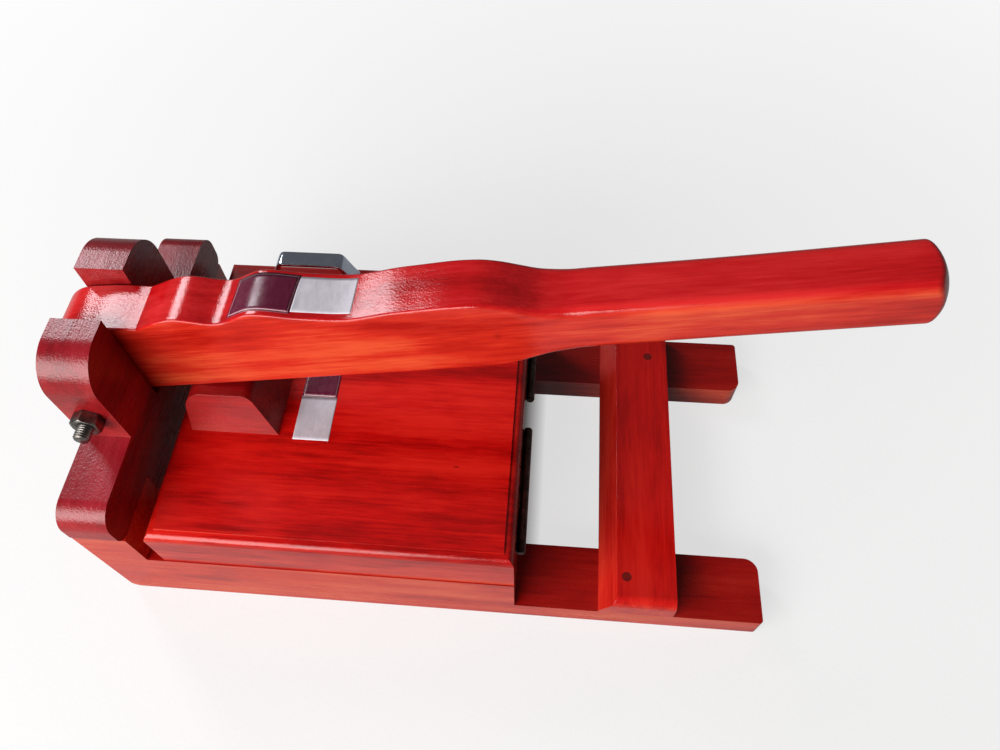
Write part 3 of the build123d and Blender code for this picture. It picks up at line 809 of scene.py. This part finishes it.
# %% Label finishes
def foil(name, colour, shine, metallic):
    """Printed foil with faint wrinkles."""
    sheet = new_finish(name)
    wrinkles = sheet.noise(sheet.place(scale=(1.0, 0.5, 1.0)), 260.0, detail=3.0, roughness=0.5, distortion=0.6)
    crest = tone(colour)
    return sheet.feed(
        Base_Color=sheet.ramp(wrinkles, [(0.3, tuple(part * 0.86 for part in crest)), (0.7, crest)]),
        Metallic=metallic,
        Roughness=sheet.span(wrinkles, 0.3, 0.7, shine, shine + 0.12),
        Normal=sheet.bump(wrinkles, strength=0.25, distance=0.4 * MM),
    )


silver_foil = foil("silver_foil", "#dad6e0", 0.34, 0.05)
maroon_foil = foil("maroon_foil", "#651234", 0.22, 0.0)
pale_line = foil("pale_line", "#e6b9bf", 0.3, 0.0)

# %% Where the labels lie
board_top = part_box("upper_board")[1].z
frame_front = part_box("pivot_frame")[1].x
FOIL_THICK = 0.05 * MM
FOIL_LIFT = 0.06


def on_lever(u, y, lift):
    """A point over the lever's upper edge, lifted along the edge's normal (-slope, 1) / sqrt(1 + slope^2)."""
    n = upper_edge(u)
    slope = upper_edge(u + 0.5) - upper_edge(u - 0.5)
    size = np.hypot(1.0, slope)
    return to_frame(u - slope / size * lift, n + lift / size, y)


def on_board(x, y, lift):
    """A point over the upper board: x from the pivot frame's front face, in millimetres."""
    return np.stack([frame_front + x * MM, y * MM, np.full_like(x, board_top + lift * MM)], -1)


def panel(name, place, first, second, finish, body, slant=0.0, layer=1):
    """A sheet: an even grid between two corners, leaned by a slant over its width, laid on place()."""
    (x0, y0), (x1, y1) = first, second
    x, y = np.meshgrid(np.linspace(x0, x1, 40), np.linspace(y0, y1, 14), indexing="ij")
    x = x + slant * (y - y0) / (y1 - y0)
    sheet = grid_piece(name, place(x, y, FOIL_LIFT * layer), finish, closed=False)
    shell = sheet.modifiers.new("foil thickness", "SOLIDIFY")
    shell.thickness = FOIL_THICK
    shell.offset = 0.0
    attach(sheet, body)


def lined_panel(name, place, first, second, body, slant=0.0):
    """The dark red panel with a pale line a little inside its edge: red, pale and red sheets in turn."""
    for step, (inset, finish) in enumerate(((0.0, maroon_foil), (1.2, pale_line), (1.6, maroon_foil))):
        low_corner = (first[0] + inset, first[1] + inset)
        high_corner = (second[0] - inset, second[1] - inset)
        panel(f"{name}_{step}", place, low_corner, high_corner, finish, body, slant, layer=step + 1)


lined_panel("lever_label_red", on_lever, (99.0, -14.0), (139.6, 14.5), "lever_arm", 1.5)
panel("lever_label_silver", on_lever, (139.6, -12.5), (174.8, 13.5), silver_foil, "lever_arm", 0.5)
lined_panel("board_label_red", on_board, (94.5, -5.5), (119.5, 36.0), "upper_plate")
panel("board_label_silver", on_board, (94.8, -38.8), (119.8, -5.4), silver_foil, "upper_plate")

# %% [markdown]
# ## The studio
#
# The press stands on white paper that runs out into a white backdrop. If light alone had to make them
# white, the varnish would be washed out. So the paper and the backdrop glow for the camera's rays, and
# only a share of that glow reaches a reflection. The paper still takes the press's shadow, and under the
# boards its glow is turned off as a painted shadow, because the varnish around that dark hollow would mirror it.

# %% White for the camera only
def white_share(recipe, glossy_share):
    """1 for the camera's rays and those through glass, a share of it for a gloss, 0 for the others."""
    camera_ray = recipe.node("ShaderNodeLightPath", out="Is Camera Ray")
    glossy_ray = camera_ray.other("Is Glossy Ray")
    return (glossy_ray * glossy_share + camera_ray + camera_ray.other("Is Transmission Ray")).least(1.0)


def grey(value):
    """A neutral colour."""
    return (value, value, value)


# %% The paper floor
FLOOR_HALF = 6.0
FLOOR_DROP = 0.2 * MM
PAINTED_SHADOW_X = -0.0875


def floor_finish():
    """Matt paper that looks white but sheds little light, with a painted shadow under the boards, and fades to the
    backdrop.
    """
    paper = new_finish("paper")
    tooth = paper.noise(paper.place(), scale=400.0, detail=2.0)
    x = paper.node("ShaderNodeSeparateXYZ", {}, {0: paper.here()})
    y = x.other("Y")
    # Painted shadow: a soft rectangle under the boards where the paper's glow is turned off
    painted_shadow_along = paper.span((x - PAINTED_SHADOW_X) * (x - PAINTED_SHADOW_X), 0.1475**2, 0.1275**2)
    painted_shadow_across = paper.span(y * y, 0.105**2, 0.075**2)
    far = paper.span(paper.length(paper.here()), 0.30, 1.25)
    lit = white_share(paper, 0.30) * (1.0 - painted_shadow_along * painted_shadow_across)
    glow = paper.ramp(far, [(0.0, grey(0.69)), (1.0, grey(1.0))])
    near_paper = paper.ramp(tooth, [(0.3, grey(0.26)), (0.7, grey(0.28))])
    return paper.feed(
        Base_Color=paper.blend(far, near_paper, (*grey(0.03), 1.0)),
        Roughness=0.9,
        Specular_IOR_Level=0.1,
        Emission_Color=paper.blend(lit, (*grey(0.0), 1.0), glow),
        Emission_Strength=1.0,
    )


floor_mesh = bpy.data.meshes.new("floor")
floor_corners = [(side_x * FLOOR_HALF, side_y * FLOOR_HALF, -FLOOR_DROP)
                 for side_x, side_y in ((-1, -1), (1, -1), (1, 1), (-1, 1))]
floor_mesh.from_pydata(floor_corners, [], [(0, 1, 2, 3)])
floor_mesh.materials.append(floor_finish())
floor = bpy.data.objects.new("floor", floor_mesh)
bpy.context.scene.collection.objects.link(floor)
print("floor, in metres across:", 2 * FLOOR_HALF)

# %% [markdown]
# A broad soft light stands low at the near left and does most of the work. A smaller window, high at the
# far left, is placed where the tops of the horns and of the lever's tail mirror it to the camera, and gives
# them their glare. The side towards the grip gets little light, so the faces that look that way fall nearly
# to black, as a deep stain does.

# %% Lights and backdrop
BACKDROP_LIGHT = 0.035


def lamp(name, place, aim, width, height, power, tint):
    """A soft rectangular light at a place, turned to shine at a point, in metres and watts."""
    light = bpy.data.lights.new(name, "AREA")
    light.shape = "RECTANGLE"
    light.size, light.size_y = width, height
    light.energy = power
    light.color = tint
    holder = bpy.data.objects.new(name, light)
    holder.location = place
    holder.rotation_euler = (Vector(aim) - Vector(place)).to_track_quat("-Z", "Y").to_euler()
    bpy.context.scene.collection.objects.link(holder)
    print(name, "light, in watts:", power)


lamp("window", (-1.35, 1.04, 1.40), (-0.15, 0.0, 0.2), 0.40, 0.80, 12.0, (0.97, 0.95, 1.0))
lamp("room", (-1.10, -1.30, 0.95), (-0.1, 0.0, 0.1), 2.0, 1.2, 56.0, (1.0, 0.98, 0.96))

world = bpy.data.worlds.new("studio")
bpy.context.scene.world = world
backdrop = Recipe(world, "Background")
backdrop.feed(
    Color=(*grey(1.0), 1.0),
    Strength=backdrop.span(white_share(backdrop, 0.10), 0.0, 1.0, BACKDROP_LIGHT, 1.0),
)

# %% [markdown]
# ## The camera
#
# The photograph was taken from above the near side, close to the press, so its perspective is strong. The
# camera's place and turns were fitted to the press's own corners. Its focal length is written in pixels of
# the picture, as such a fit gives it, and turned to a lens on a usual sensor. A small shift puts the
# picture's middle where the fit found it. The place counts from the pivot frame's front face.

# %% Camera
IMAGE_WIDTH = 1000
FOCAL_PIXELS = 789.4
SENSOR = 36.0
SHIFT = (0.0185, -0.008)
PITCH_DOWN = math.radians(57.322)
YAW = math.radians(-8.4246)
ROLL = math.radians(-4.1525)
CAMERA_FROM_FRAME = (262.32 * MM, -272.46 * MM, 578.27 * MM)

level_share = math.cos(PITCH_DOWN)
forward = Vector((math.sin(YAW) * level_share, math.cos(YAW) * level_share, -math.sin(PITCH_DOWN)))
level = Vector((math.cos(YAW), -math.sin(YAW), 0.0))
down = forward.cross(level)
right = level * math.cos(ROLL) - down * math.sin(ROLL)
below = level * math.sin(ROLL) + down * math.cos(ROLL)

camera_data = bpy.data.cameras.new("camera")
camera_data.sensor_width = SENSOR
camera_data.lens = FOCAL_PIXELS * SENSOR / IMAGE_WIDTH
camera_data.shift_x, camera_data.shift_y = SHIFT
camera = bpy.data.objects.new("camera", camera_data)
bpy.context.scene.collection.objects.link(camera)
turned = Matrix((right, -below, -forward)).transposed().to_4x4()
turned.translation = Vector(CAMERA_FROM_FRAME) + Vector((frame_front, 0.0, 0.0))
camera.matrix_world = turned
bpy.context.scene.camera = camera
bpy.context.scene.view_settings.view_transform = "Standard"
print("lens, in mm:", round(camera_data.lens, 2))
